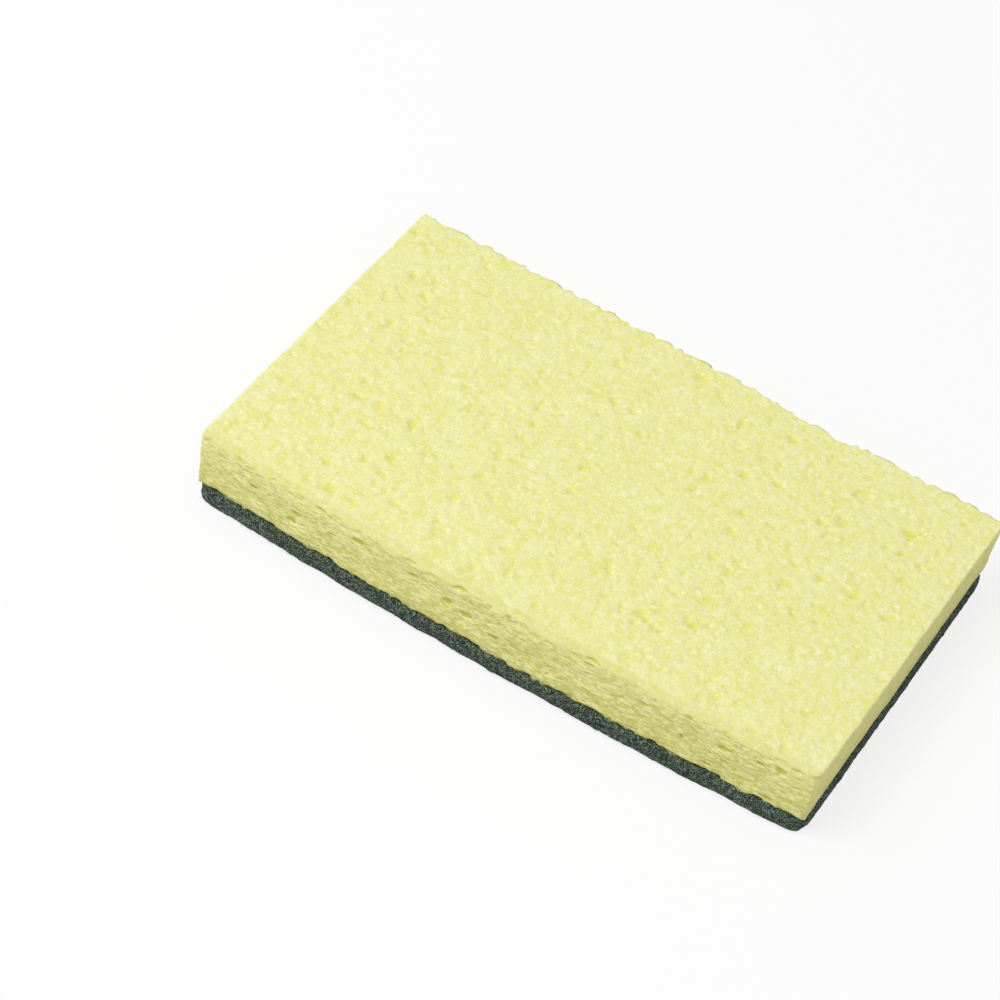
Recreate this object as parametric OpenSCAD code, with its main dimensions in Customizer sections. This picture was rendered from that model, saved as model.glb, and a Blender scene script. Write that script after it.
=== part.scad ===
// A scrub sponge: a sawn block of cellulose sponge with a green scouring pad laminated under it.
// X runs along the length, Y across the width and Z up. The origin is under the middle of the pad,
// and the sponge lies on its flat scouring face.

/* [Sponge block] */
// Length from end to end
block_l = 157.3; // [120:0.1:180]
// Width at the two ends
block_w = 90; // [60:1:110]
// Thickness of the sponge above the pad
block_t = 15.4; // [9:0.2:30]
// How far the near long side swells out at mid-length
near_bow = 2.2; // [0:0.1:4]
// How far the right end leans in at its foot
end_lean = 0.9; // [0:0.1:3]
// How far the far right corner stands back, so that the right end slants
end_slant = 1.5; // [0:0.1:3]
// How much wider the left end is than the right one
far_flare = 1.3; // [0:0.1:3]
// Radius of the upright corners
corner_r = 1.1; // [0.6:0.1:5]
// Width and height of the soft rim round the top face
rim = 0.7; // [0.2:0.1:2]
// Waviness of the sawn sides, each way
saw_wave = 0.3; // [0:0.05:0.6]

/* [Torn far edge] */
// Depth of the long shallow tear in the far top edge
tear_depth = 1.3; // [0:0.1:2.5]
// Length of the tear
tear_l = 34; // [10:1:60]
// Distance of the tear's middle from the right end
tear_from_end = 48; // [25:1:90]

/* [Pores in the top face] */
// Spacing of the pores
pore_pitch = 5.8; // [5.6:0.1:12]
// Radius of the smallest pores
pore_r_small = 0.7; // [0.4:0.05:1]
// Radius of the largest pores
pore_r_large = 1.9; // [1.1:0.05:2.4]

/* [Drawn-out cells in the long sides] */
// Spacing of the cells along the side
cell_pitch = 9.4; // [8.5:0.1:16]
// Height of one row of cells
cell_row = 2.9; // [2.6:0.1:5]
// Length of the shortest cells
cell_l_short = 2.6; // [2:0.1:4]
// Length of the longest cells
cell_l_long = 8; // [4.5:0.1:8.5]
// Height of the tallest cells
cell_h = 1.8; // [0.6:0.1:2.2]

/* [Small pores in the ends] */
// Spacing of the pores in the two cut ends
end_pore_pitch = 6; // [5:0.1:9]
// Radius of the largest pores in the ends
end_pore_r = 0.9; // [0.5:0.05:1.2]

/* [Scouring pad] */
// Thickness of the pad
pad_t = 5; // [3:0.1:10]
// How far the pad stands out past the block at mid-length of the near side
pad_proud = 0.7; // [0:0.1:1.5]
// How far the pad stands out past the block's foot at the right end
pad_end_proud = 0.4; // [0:0.1:1]
// Radius of the pad's upright corners
pad_corner_r = 4.6; // [1:0.1:8]
// Width of the soft edge round the scouring face
pad_round = 1.1; // [0.3:0.1:2]
// Raggedness of the pad's cut edge, each way
pad_ragged = 0.35; // [0:0.05:0.6]
// Spacing of the nicks between the fibres of the cut edge
nick_pitch = 9; // [5:0.1:14]
// Radius of the largest nicks
nick_r = 0.8; // [0.5:0.05:1.1]

/* [Hidden] */

// Facets round a cutter: enough for it to stay a true sphere
round_fn = 16;
// Spacing of the points along an outline, and points in a corner's quarter turn
outline_step = 4.6;
corner_steps = 4;
// Width of the band inside an edge over which that edge's bow or lean fades out
fade = 12;
// Undercut of the block where it meets the pad, and of the pad where it meets the block
seam_in = 0.35;
// Heights of the soft rims at the seam
seam_h = 0.6;
// How far a pore's middle lies outside the face it opens in, as a share of its size
mouth_out = 0.18;

top_z = pad_t + block_t;
// The soft rims, held within the corners that they run round
top_rim = min(rim, 0.8 * corner_r);
face_round = min(pad_round, 0.8 * pad_corner_r);
// Puts the origin under the middle of the whole sponge, swollen side included
centring = [0, (near_bow + pad_proud - far_flare) / 2, 0];

// A repeatable number from 0 to 1 for three whole numbers
function dice(i, j, k) =
    let (a = (i * 73 + j * 179 + k * 283 + 4001) % 9973)
    let (b = (a * a + 7 * a + 3) % 9967)
    let (c = (b * b + 11 * b + 5) % 9949)
    c / 9949;

// The same number moved to lie between lo and hi
function pick(lo, hi, i, j, k) = lo + (hi - lo) * dice(i, j, k);

// As pick, but mostly near lo
function pick_small(lo, hi, i, j, k) = lo + (hi - lo) * pow(dice(i, j, k), 2.4);

function clamp01(x) = max(0, min(1, x));

// 1 at an edge at distance half from the middle, fading to 0 inside it
function near_edge(x, half) = clamp01((x - half + fade) / fade);

// Bulge of the near side at x
function bow_at(x) = near_bow * (1 - pow(2 * x / block_l, 2));

// How far the right end leans in at its foot, more so at its far corner
function lean_at(p) = end_lean * (1 + 0.4 * p[1] / block_w) * near_edge(p[0], block_l / 2);

// The slant of the right end and the flare towards the left one
function skew_at(p) = [
    -end_slant * (p[1] / block_w + 0.5) * near_edge(p[0], block_l / 2),
    far_flare * (0.5 - p[0] / block_l) * near_edge(p[1], block_w / 2)
];

// Depth of the far edge's tear at x
function tear_at(x) =
    let (u = (x - block_l / 2 + tear_from_end) / (tear_l / 2))
    abs(u) < 1 ? tear_depth * pow(cos(90 * u), 2) : 0;

// Points of a rounded rectangle, anticlockwise, each with its outward normal
function rounded(l, w, r) = [
    for (side = [0:3])
        let (along = side % 2 == 0 ? l : w)
        let (across = side % 2 == 0 ? w : l)
        let (n = round((along - 2 * r) / outline_step))
        each [
            for (i = [0:n]) quarter_turns([r - along / 2 + (along - 2 * r) * i / n, -across / 2], [0, -1], side),
            for (k = [1:corner_steps - 1])
                let (a = 90 * k / corner_steps)
                let (out = [sin(a), -cos(a)])
                quarter_turns([along / 2 - r, r - across / 2] + r * out, out, side)
        ]
];

function quarter_turns(p, out, n) = [turn(p, n), turn(out, n)];
function turn(p, n) = n == 0 ? p : turn([-p[1], p[0]], n - 1);

// The block's outline at a height: rise is 0 at its foot and 1 at its top
function block_outline(rise, inset, row) =
    let (pts = rounded(block_l, block_w, corner_r))
    [
        for (i = [0:len(pts) - 1])
            let (p = pts[i][0], out = pts[i][1])
            let (wave = min(saw_wave, 0.6 * (corner_r - inset)) * (2 * dice(i, row, 1) - 1))
            let (lean = lean_at(p) * (1 - rise))
            let (bow = bow_at(p[0]) * near_edge(-p[1], block_w / 2))
            let (tear = tear_at(p[0]) * pow(rise, 3) * near_edge(p[1], block_w / 2))
            p + out * (wave - inset) + skew_at(p) - [lean, bow + tear]
    ];

// The pad's outline, which follows the block's foot
function pad_outline(inset, row) =
    let (pts = rounded(block_l, block_w, pad_corner_r))
    [
        for (i = [0:len(pts) - 1])
            let (p = pts[i][0], out = pts[i][1])
            let (wave = pad_ragged * (2 * dice(i, row, 2) - 1))
            let (bow = (bow_at(p[0]) + pad_proud) * near_edge(-p[1], block_w / 2))
            let (lean = lean_at(p) - pad_end_proud * near_edge(p[0], block_l / 2))
            p + out * (wave - inset) + skew_at(p) - [lean, bow]
    ];

// A closed solid through level outlines of equal length, lowest first
module stacked(outlines, heights) {
    n = len(outlines[0]);
    rings = len(outlines);
    points = [
        for (r = [0:rings - 1]) each [for (p = outlines[r]) [p[0], p[1], heights[r]]],
        [0, 0, heights[0]],
        [0, 0, heights[rings - 1]]
    ];
    low = n * rings;
    high = low + 1;
    faces = [
        for (r = [0:rings - 2])
            for (i = [0:n - 1])
                let (a = r * n + i, b = r * n + (i + 1) % n)
                each [[a, a + n, b + n], [a, b + n, b]],
        for (i = [0:n - 1]) [low, i, (i + 1) % n],
        for (i = [0:n - 1]) [high, (rings - 1) * n + (i + 1) % n, (rings - 1) * n + i]
    ];
    polyhedron(points, faces);
}

// A round pore whose mouth has radius r, sunk into the face that z = 0 stands for
module pore(r) {
    translate([0, 0, r * mouth_out]) rotate([0, -90, 0]) sphere(r = r, $fn = round_fn);
}

// A drawn-out cell, l long and h high: a blunt spindle lying along X
module cell(l, h) {
    tip_r = h / 5;
    rotate([0, 90, 0])
        rotate_extrude($fn = round_fn)
            polygon([[0, -l / 2], [tip_r, -l / 2], [h / 2, 0], [tip_r, l / 2], [0, l / 2]]);
}

// Pores over the top face, out to its rim
module top_pores() {
    nx = floor(block_l / pore_pitch);
    ny = floor((block_w + near_bow / 2) / pore_pitch);
    for (i = [0:nx - 1], j = [0:ny - 1])
        translate([
            (i - nx / 2 + pick(0.28, 0.72, i, j, 3)) * pore_pitch,
            (j - ny / 2 + pick(0.28, 0.72, i, j, 4)) * pore_pitch - near_bow / 2,
            top_z
        ]) pore(pick_small(pore_r_small, pore_r_large, i, j, 5));
}

// Drawn-out cells in one long side: facing is -1 for the near side and 1 for the far one
module side_cells(facing) {
    nx = floor(block_l / cell_pitch) - 1;
    rows = floor(block_t / cell_row);
    for (i = [0:nx - 1], j = [0:rows - 1])
        let (x = (i - nx / 2 + pick(0.25, 0.5, i, j, 6 + facing) + 0.4 * (j % 2)) * cell_pitch)
        let (swell = facing < 0 ? bow_at(x) : skew_at([x, block_w / 2])[1])
        let (l = pick_small(cell_l_short, cell_l_long, i, j, 12 + facing))
        let (h = pick(0.45, 1, i, j, 15 + facing) * cell_h)
        translate([
            x,
            facing * (block_w / 2 + swell + h * mouth_out),
            pad_t + (j + pick(0.35, 0.65, i, j, 9 + facing)) * block_t / rows
        ])
            rotate([90 * facing, 0, 0]) cell(l, h);
}

// Small round pores in one cut end: facing is -1 for the left end and 1 for the right one
module end_pores(facing) {
    ny = floor(block_w / end_pore_pitch) - 1;
    rows = floor(block_t / end_pore_pitch);
    for (i = [0:ny - 1], j = [0:rows - 1])
        let (r = pick_small(0.5, end_pore_r, i, j, 24 + facing))
        let (y = (i - ny / 2 + pick(0.25, 0.75, i, j, 18 + facing)) * end_pore_pitch)
        let (high = (j + pick(0.25, 0.75, i, j, 21 + facing)) / rows)
        let (p = [facing * block_l / 2, y])
        let (set_back = lean_at(p) * (1 - high) - skew_at(p)[0])
        translate([facing * (block_l / 2 - set_back + r * mouth_out), y, pad_t + high * block_t])
            rotate([90, 0, facing < 0 ? 180 : 0]) sphere(r = r, $fn = round_fn);
}

// Nicks between the fibres, all round the pad's cut edge
module edge_nicks() {
    path = pad_outline(0, 1);
    every = max(1, round(nick_pitch / outline_step));
    for (i = [0:every:len(path) - 1])
        let (r = pick(0.5, 1, i, 0, 31) * nick_r)
        let (away = path[i] / norm(path[i]))
        translate([path[i][0], path[i][1], pick(0.3, 0.75, i, 0, 30) * pad_t])
            rotate(atan2(away[1], away[0])) translate([r * mouth_out, 0, 0]) sphere(r = r, $fn = round_fn);
}

// The block before its pores, sawn level across the top
module sawn_block() {
    intersection() {
        stacked(
            [
                block_outline(0, seam_in, 0),
                block_outline(0.05, 0, 1),
                block_outline(0.45, 0, 2),
                block_outline(1, 0, 3),
                block_outline(1, 1.1 * top_rim, 4)
            ],
            [pad_t, pad_t + seam_h, pad_t + block_t * 0.45, top_z - top_rim, top_z + 0.1 * top_rim]
        );
        translate([-block_l, -block_w, 0]) cube([2 * block_l, 2 * block_w, top_z]);
    }
}

module sponge_block() {
    color("khaki")
        translate(centring)
        difference() {
            sawn_block();
            top_pores();
            side_cells(-1);
            side_cells(1);
            end_pores(-1);
            end_pores(1);
        }
}

module scouring_pad() {
    color("darkslategray")
        translate(centring)
        difference() {
            stacked(
                [
                    pad_outline(face_round, 0),
                    pad_outline(face_round * 0.3, 1),
                    pad_outline(0, 2),
                    pad_outline(seam_in * 0.3, 3),
                    pad_outline(seam_in, 4)
                ],
                [0, face_round * 0.45, pad_t * 0.45, pad_t - seam_h, pad_t]
            );
            edge_nicks();
        }
}

sponge_block();
scouring_pad();
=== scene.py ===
import math

import bpy
import numpy as np
from mathutils import Matrix, Vector


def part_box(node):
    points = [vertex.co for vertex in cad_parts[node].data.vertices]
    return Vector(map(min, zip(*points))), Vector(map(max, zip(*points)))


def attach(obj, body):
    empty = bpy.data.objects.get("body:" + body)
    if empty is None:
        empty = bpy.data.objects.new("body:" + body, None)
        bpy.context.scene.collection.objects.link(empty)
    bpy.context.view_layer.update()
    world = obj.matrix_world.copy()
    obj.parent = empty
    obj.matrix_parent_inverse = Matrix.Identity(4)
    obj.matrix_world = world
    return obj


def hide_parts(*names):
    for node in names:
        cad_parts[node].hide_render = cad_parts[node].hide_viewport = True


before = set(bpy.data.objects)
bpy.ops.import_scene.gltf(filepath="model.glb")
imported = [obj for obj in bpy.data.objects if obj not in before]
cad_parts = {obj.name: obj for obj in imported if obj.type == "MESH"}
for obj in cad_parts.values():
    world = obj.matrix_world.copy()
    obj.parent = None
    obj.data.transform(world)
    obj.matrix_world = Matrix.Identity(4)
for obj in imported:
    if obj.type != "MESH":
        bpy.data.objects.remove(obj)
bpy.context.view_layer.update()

bl_info = {
    "name": "Scrub sponge",
    "version": (1, 0, 0),
    "blender": (4, 5, 0),
    "location": "View3D > Sidebar > Scrub sponge",
    "description": "A cellulose scrub sponge with a green scouring pad, modelled round its packed solids",
    "category": "Add Mesh",
}

MM = 0.001
PAD_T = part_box("scouring_pad")[1][2] / MM
TOP_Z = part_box("sponge_block")[1][2] / MM

# The plan shape of the solids, as the part's source gives it, in mm
PLAN_L, PLAN_W = 157.3, 90.0
OUTLINE_L = 2 * (PLAN_L + PLAN_W)
NEAR_BOW, END_LEAN, END_SLANT, FAR_FLARE = 2.2, 0.9, 1.5, 1.3
# How far in from its own edge a shape such as the bow fades out
FADE = 12.0
BLOCK_CORNER_R, PAD_CORNER_R = 1.1, 4.6
# How far the pad stands out past the block, along the near side and at the right end
PAD_PROUD, PAD_END_PROUD = 0.7, 0.4
TEAR_DEPTH, TEAR_L, TEAR_FROM_END = 1.3, 34.0, 48.0
PORE_PITCH, PORE_R_SMALL, PORE_R_LARGE = 5.8, 0.7, 1.9
# The frame's origin is the middle of the whole sponge, and the plan's is the middle of its rectangle
CENTRING_Y = (NEAR_BOW + PAD_PROUD - FAR_FLARE) / 2

# Unevenness along the outline of the block: (mm across, mm in and out) for each size of swell
RIM_SAG = [(4.5, 0.55)]
FOOT_FRAY = [(1.1, 1.0), (4.0, 0.15)]
RIM_JAG = [(1.3, 0.55), (3.1, 0.3)]
# Bands in mm: of the top that follows the sides, beside the evenly cut ends, and round the corners
EDGE_BAND, BLOCK_END_BAND, PAD_END_BAND, CORNER_BAND = 2.5, 3.0, 4.0, 2.2
# Heights in mm of the frayed foot, and of the ragged strip under the rim with its width on the top
FOOT_H, JAG_H, JAG_W = 0.9, 1.5, 1.2

# Counts of the random hollows in the top, in each long side and in each end
TOP_DIMPLES, TOP_HOLLOWS = 5200, 700
SIDE_STROKES, SIDE_LENSES, RIM_BITES = 2600, 34, 70
END_GRAINS, END_PORES = 1500, 46
# The placed pits and cells are pressed wider than their floor by these factors, and so deep in mm
PIT_SPREAD, PIT_DEPTH = 1.35, 0.55
CELL_SPREAD, CELL_DEPTH = 1.25, 0.85
# The deepest pits that show in the top face: x, y, half length and half width in mm, turn in degrees
DEEP_PITS = [
    (13.4, -21.6, 2.1, 0.8, -51), (25.2, -28.2, 2.0, 1.6, 62), (27.4, -29.4, 1.3, 1.1, 0),
    (25.5, -31.6, 1.3, 0.9, -34), (60.9, -41.5, 1.6, 1.1, 50), (61.7, 29.5, 2.2, 1.4, 4),
    (-48.3, 6.1, 1.9, 0.9, 64), (-43.4, -12.7, 1.7, 1.0, -57), (-46.3, -27.8, 1.1, 1.2, 39),
    (-41.3, -23.8, 1.4, 0.9, 45), (14.9, 34.8, 1.7, 0.9, -53), (27.1, 38.2, 1.7, 1.1, 18),
    (28.8, 11.6, 1.1, 0.9, 25), (44.2, 19.7, 1.1, 1.1, 39), (66.7, 16.6, 1.5, 0.8, 62),
    (16.9, 15.2, 2.0, 1.1, 73), (-3.5, -35.7, 1.8, 0.8, 99),
]
# The larger drawn-out cells that show on the near side: mm from its left end, mm above its foot, half
# length and half height in mm
NEAR_CELLS = [
    (33.0, 14.0, 1.7, 0.7), (43.4, 11.4, 2.0, 0.95), (15.1, 9.1, 1.5, 0.6), (26.7, 8.1, 1.5, 0.6),
    (25.6, 5.4, 1.6, 0.6), (66.8, 8.6, 1.5, 0.9), (71.7, 7.5, 2.0, 0.95), (69.5, 14.8, 1.7, 0.6),
    (57.9, 10.4, 1.4, 0.5), (102.9, 14.9, 2.0, 0.6), (116.0, 10.4, 1.6, 0.55), (125.8, 6.6, 0.7, 0.7),
    (135.9, 9.7, 2.1, 0.7), (149.0, 11.6, 1.7, 1.0), (144.3, 10.8, 1.4, 0.6), (147.4, 1.4, 2.1, 0.5),
    (79.3, 5.8, 1.5, 0.55), (132.7, 2.3, 1.4, 0.6), (114.5, 1.4, 1.0, 0.4),
]

# Loose fibres: size as a share of the modelled one, depth of the root in mm, and slope off the surface
FIBRE_SIZE, FIBRE_ROOT, FIBRE_LIFT = (0.3, 0.7), (0.04, 0.2), (-0.12, 0.03)

# The sensor's width in mm, and the picture's in pixels
SENSOR, PICTURE = 36.0, 1000.0
# Area lamps: name, place in m, size in m and power in W
LAMPS = [("key_lamp", (-0.7, -0.6, 1.5), 1.0, 19.0), ("fill_lamp", (1.2, -1.0, 0.9), 1.4, 1.5)]
WORLD_STRENGTH = 0.5
FLOOR_SIZE = 12.0
# Share of plain white in what the camera sees of the floor
FLOOR_GLOW = 0.80


def clamp01(value):
    """A value held between 0 and 1."""
    return np.clip(value, 0.0, 1.0)


def smooth(value):
    """A value held between 0 and 1, levelling out towards both."""
    value = clamp01(value)
    return value * value * (3.0 - 2.0 * value)


def eased(weight, least):
    """A weight from 0 to 1 made one from least to 1."""
    return least + (1 - least) * weight


def near_edge(place, half):
    """1 on the edge at half and 0 from the fade inwards."""
    return clamp01((place - half + FADE) / FADE)


def dice(i, j, k):
    """A repeatable number from 0 to 1, by the rule that sets the pores of the solid."""
    a = (i * 73 + j * 179 + k * 283 + 4001) % 9973
    b = (a * a + 7 * a + 3) % 9967
    return (b * b + 11 * b + 5) % 9949 / 9949


class Relief:
    """A height map in mm over a rectangle, into which round and drawn-out hollows are pressed."""

    def __init__(self, length, width, cell, wraps=False):
        self.length, self.width, self.cell, self.wraps = length, width, cell, wraps
        self.nx = int(math.ceil(length / cell)) + 1
        self.ny = int(math.ceil(width / cell)) + 1
        self.depth = np.zeros((self.nx, self.ny))

    def press(self, x, y, long_r, short_r, depth, turn, flat):
        """Presses one hollow: flat is the share of its radius over which its floor stays level."""
        reach = max(long_r, short_r)
        i0 = int(math.floor((x - reach) / self.cell))
        i1 = int(math.ceil((x + reach) / self.cell)) + 1
        j0 = max(0, int(math.floor((y - reach) / self.cell)))
        j1 = min(self.ny, int(math.ceil((y + reach) / self.cell)) + 1)
        if not self.wraps:
            i0, i1 = max(0, i0), min(self.nx, i1)
        if i1 <= i0 or j1 <= j0:
            return
        columns = np.arange(i0, i1)
        dx = (columns * self.cell - x)[:, None]
        dy = (np.arange(j0, j1) * self.cell - y)[None, :]
        along = dx * math.cos(turn) + dy * math.sin(turn)
        across = dy * math.cos(turn) - dx * math.sin(turn)
        radius = np.sqrt((along / long_r) ** 2 + (across / short_r) ** 2)
        hollow = depth * smooth((1.0 - radius) / (1.0 - flat))
        spot = np.ix_(columns % self.nx if self.wraps else columns, np.arange(j0, j1))
        self.depth[spot] = np.maximum(self.depth[spot], hollow)

    def add_noise(self, rng, scale_x, scale_y, amount):
        """Adds smooth random swells, scale_x by scale_y mm across."""
        count_x = max(4, int(self.length / scale_x))
        count_y = max(4, int(self.width / scale_y) + 3)
        knots = rng.uniform(-1.0, 1.0, (count_x + 1, count_y + 1))
        if self.wraps:
            knots[-1] = knots[0]
        u = np.linspace(0, count_x, self.nx, endpoint=False)
        v = np.linspace(0, count_y - 0.001, self.ny)
        self.depth += amount * blend_knots(knots, u, v)

    def at(self, x, y):
        """The relief at places x, y, by blending the four nearest cells."""
        u = x / self.cell
        v = np.clip(y / self.cell, 0, self.ny - 1.001)
        if self.wraps:
            u = u % self.nx
        else:
            u = np.clip(u, 0, self.nx - 1.001)
        i, j = np.floor(u).astype(int), np.floor(v).astype(int)
        fu, fv = u - i, v - j
        i2 = (i + 1) % self.nx
        low = self.depth[i % self.nx, j] * (1 - fu) + self.depth[i2, j] * fu
        high = self.depth[i % self.nx, j + 1] * (1 - fu) + self.depth[i2, j + 1] * fu
        return low * (1 - fv) + high * fv


def blend_knots(knots, u, v):
    """Values between the knots of a coarse grid, at every pair of a place u and a place v."""
    i, j = np.floor(u).astype(int), np.floor(v).astype(int)
    fu, fv = smooth(u - i)[:, None], smooth(v - j)[None, :]
    a = knots[np.ix_(i, j)]
    b = knots[np.ix_(i + 1, j)]
    c = knots[np.ix_(i, j + 1)]
    d = knots[np.ix_(i + 1, j + 1)]
    return (a * (1 - fu) + b * fu) * (1 - fv) + (c * (1 - fu) + d * fu) * fv


class SpongeSettings(bpy.types.PropertyGroup):
    """Sizes and colours of the cellulose block."""

    top_step: bpy.props.FloatProperty(
        name="Top step", description="Spacing of the mesh points over the top face, in mm",
        default=0.5, min=0.3)
    side_step: bpy.props.FloatProperty(
        name="Side step", description="Spacing of the mesh rows down the sides, in mm",
        default=0.36, min=0.2)
    rim: bpy.props.FloatProperty(
        name="Rim", description="Radius of the rim along the other sides of the top face, in mm",
        default=0.4, min=0.1)
    near_rim: bpy.props.FloatProperty(
        name="Near rim", description="Mean radius of the softer rim along the near side, in mm",
        default=1.4, min=0.1)
    seed: bpy.props.IntProperty(
        name="Seed", description="Start of the random draws that scatter the fine pores", default=11)
    body_colour: bpy.props.FloatVectorProperty(
        name="Body", description="Pale lemon of the sawn top", subtype="COLOR", size=3,
        default=(0.838, 0.820, 0.385), min=0, max=1)
    yellow_colour: bpy.props.FloatVectorProperty(
        name="Yellow", description="Stronger lemon of its blotches", subtype="COLOR", size=3,
        default=(0.795, 0.782, 0.205), min=0, max=1)
    # Also painted as a highlight along the top edges of the two ends
    bright_colour: bpy.props.FloatVectorProperty(
        name="Bright", description="Pale tips of the cell walls", subtype="COLOR", size=3,
        default=(0.905, 0.880, 0.530), min=0, max=1)
    deep_colour: bpy.props.FloatVectorProperty(
        name="Deep", description="Strong yellow down in the pores", subtype="COLOR", size=3,
        default=(0.760, 0.730, 0.100), min=0, max=1)
    # Also painted as shade along the top's near edge, besides the dark gaps of the sides
    side_dark_and_edge_shade_colour: bpy.props.FloatVectorProperty(
        name="Side dark", description="Gaps between the layers of the long sides", subtype="COLOR", size=3,
        default=(0.600, 0.575, 0.165), min=0, max=1)
    side_light_colour: bpy.props.FloatVectorProperty(
        name="Side light", description="Layers of the long sides", subtype="COLOR", size=3,
        default=(0.835, 0.815, 0.345), min=0, max=1)
    # Colour of the painted highlights: tiny glints where the edges of cell walls catch the light
    glint_colour: bpy.props.FloatVectorProperty(
        name="Fleck", description="Tiny bright torn cell walls", subtype="COLOR", size=3,
        default=(0.940, 0.925, 0.560), min=0, max=1)
    side_deep_colour: bpy.props.FloatVectorProperty(
        name="Side deep", description="Olive shade down in the drawn-out cells", subtype="COLOR", size=3,
        default=(0.590, 0.570, 0.110), min=0, max=1)
    foot_colour: bpy.props.FloatVectorProperty(
        name="Foot", description="Greenish shade along the pad", subtype="COLOR", size=3,
        default=(0.470, 0.520, 0.230), min=0, max=1)
    fray_colour: bpy.props.FloatVectorProperty(
        name="Fray", description="Green of the pad showing through the frayed foot", subtype="COLOR", size=3,
        default=(0.110, 0.140, 0.070), min=0, max=1)
    end_colour: bpy.props.FloatVectorProperty(
        name="End", description="Smooth tan yellow of the cut ends", subtype="COLOR", size=3,
        default=(0.760, 0.720, 0.270), min=0, max=1)


class PadSettings(bpy.types.PropertyGroup):
    """Sizes and colours of the scouring pad."""

    face_step: bpy.props.FloatProperty(
        name="Face step", description="Spacing of the mesh points over the scouring face, in mm",
        default=0.62, min=0.3)
    side_step: bpy.props.FloatProperty(
        name="Side step", description="Spacing of the mesh rows up the pad's edge, in mm",
        default=0.34, min=0.2)
    edge_round: bpy.props.FloatProperty(
        name="Edge", description="Radius of the soft edge round the scouring face, in mm",
        default=1.1, min=0.1)
    edge_fibres: bpy.props.IntProperty(
        name="Edge fibres", description="Number of fibres that stand out of the pad's edge",
        default=6200, min=0)
    face_fibres: bpy.props.IntProperty(
        name="Face fibres", description="Number of fibres laid over the scouring face", default=7600, min=0)
    seed: bpy.props.IntProperty(
        name="Seed", description="Start of the random draws that scatter the fibres", default=23)
    web_colour: bpy.props.FloatVectorProperty(
        name="Web", description="Grey-green of the felted web", subtype="COLOR", size=3,
        default=(0.052, 0.078, 0.060), min=0, max=1)
    light_colour: bpy.props.FloatVectorProperty(
        name="Light", description="Pale fibres that catch the light", subtype="COLOR", size=3,
        default=(0.300, 0.400, 0.310), min=0, max=1)
    crust_colour: bpy.props.FloatVectorProperty(
        name="Crust", description="Pale bits of cellulose caught along the joint", subtype="COLOR", size=3,
        default=(0.420, 0.500, 0.280), min=0, max=1)
    dark_colour: bpy.props.FloatVectorProperty(
        name="Dark", description="Gaps between the fibres", subtype="COLOR", size=3,
        default=(0.010, 0.017, 0.014), min=0, max=1)


class StageSettings(bpy.types.PropertyGroup):
    """The camera of the photograph; the floor and the lamps of the stage take their sizes from constants."""

    focal_px: bpy.props.FloatProperty(
        name="Focal length", description="Focal length in pixels of a picture 1000 pixels wide",
        default=3755.0)
    aim: bpy.props.FloatVectorProperty(
        name="Aim", description="Point of the top face in the middle of the picture",
        subtype="TRANSLATION", size=3, default=(-0.01591, -0.01952, 0.0204))
    distance: bpy.props.FloatProperty(
        name="Distance", description="From the camera to the aim", unit="LENGTH", default=0.8231)
    azimuth: bpy.props.FloatProperty(
        name="Azimuth", description="Turn of the camera round the sponge", subtype="ANGLE",
        default=math.radians(24.23))
    elevation: bpy.props.FloatProperty(
        name="Elevation", description="Height of the camera above the horizon", subtype="ANGLE",
        default=math.radians(46.86))
    roll: bpy.props.FloatProperty(
        name="Roll", description="Tilt of the camera about its line of sight", subtype="ANGLE",
        default=math.radians(10.6))


def settings(name):
    """The scene's group of settings of that name."""
    return getattr(bpy.context.scene, name)


def waviness(rng, heights, across, amount):
    """Smooth unevenness along the outline and up its height, in a large and a small size of swell."""
    relief = Relief(OUTLINE_L, heights, 1.0, wraps=True)
    relief.add_noise(rng, across, 5.0, amount)
    relief.add_noise(rng, across / 3.2, 2.5, amount * 0.45)
    return relief


def run_along(x, y):
    """Distance along the plan's outline, anticlockwise from its near left corner, and the side's number."""
    to_near, to_right = np.abs(y + PLAN_W / 2), np.abs(x - PLAN_L / 2)
    to_far, to_left = np.abs(y - PLAN_W / 2), np.abs(x + PLAN_L / 2)
    side = np.argmin([to_near, to_right, to_far, to_left], axis=0)
    return np.choose(side, [
        x + PLAN_L / 2,
        PLAN_L + y + PLAN_W / 2,
        PLAN_L + PLAN_W + PLAN_L / 2 - x,
        2 * PLAN_L + PLAN_W + PLAN_W / 2 - y,
    ]), side


def soften_corner(x, y, radius):
    """Moves places of the plan's rectangle so that its corners become quarter circles."""
    ax = clamp01((np.abs(x) - PLAN_L / 2 + radius) / radius)
    ay = clamp01((np.abs(y) - PLAN_W / 2 + radius) / radius)
    in_corner = (ax > 0) & (ay > 0)
    qx = ax * np.sqrt(1 - ay * ay / 2)
    qy = ay * np.sqrt(1 - ax * ax / 2)
    new_x = np.sign(x) * (PLAN_L / 2 - radius + radius * qx)
    new_y = np.sign(y) * (PLAN_W / 2 - radius + radius * qy)
    return np.where(in_corner, new_x, x), np.where(in_corner, new_y, y)


def outward(x, y, radius):
    """Outward direction of the outline beside places of the plan, turning smoothly at its corners."""
    band = max(radius, CORNER_BAND)
    ax = clamp01((np.abs(x) - PLAN_L / 2 + band) / band) * np.sign(x)
    ay = clamp01((np.abs(y) - PLAN_W / 2 + band) / band) * np.sign(y)
    size = np.maximum(np.hypot(ax, ay), 1e-6)
    return ax / size, ay / size


def bow_at(x):
    """How far the near side swells out."""
    return NEAR_BOW * (1 - (2 * x / PLAN_L) ** 2)


def lean_at(x, y):
    """How far the foot of the right end stands back."""
    return END_LEAN * (1 + 0.4 * y / PLAN_W) * near_edge(x, PLAN_L / 2)


def skew_at(x, y):
    """How far the right end slants along X, and how far the far side flares along Y."""
    slant = -END_SLANT * (y / PLAN_W + 0.5) * near_edge(x, PLAN_L / 2)
    return slant, FAR_FLARE * (0.5 - x / PLAN_L) * near_edge(y, PLAN_W / 2)


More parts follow.
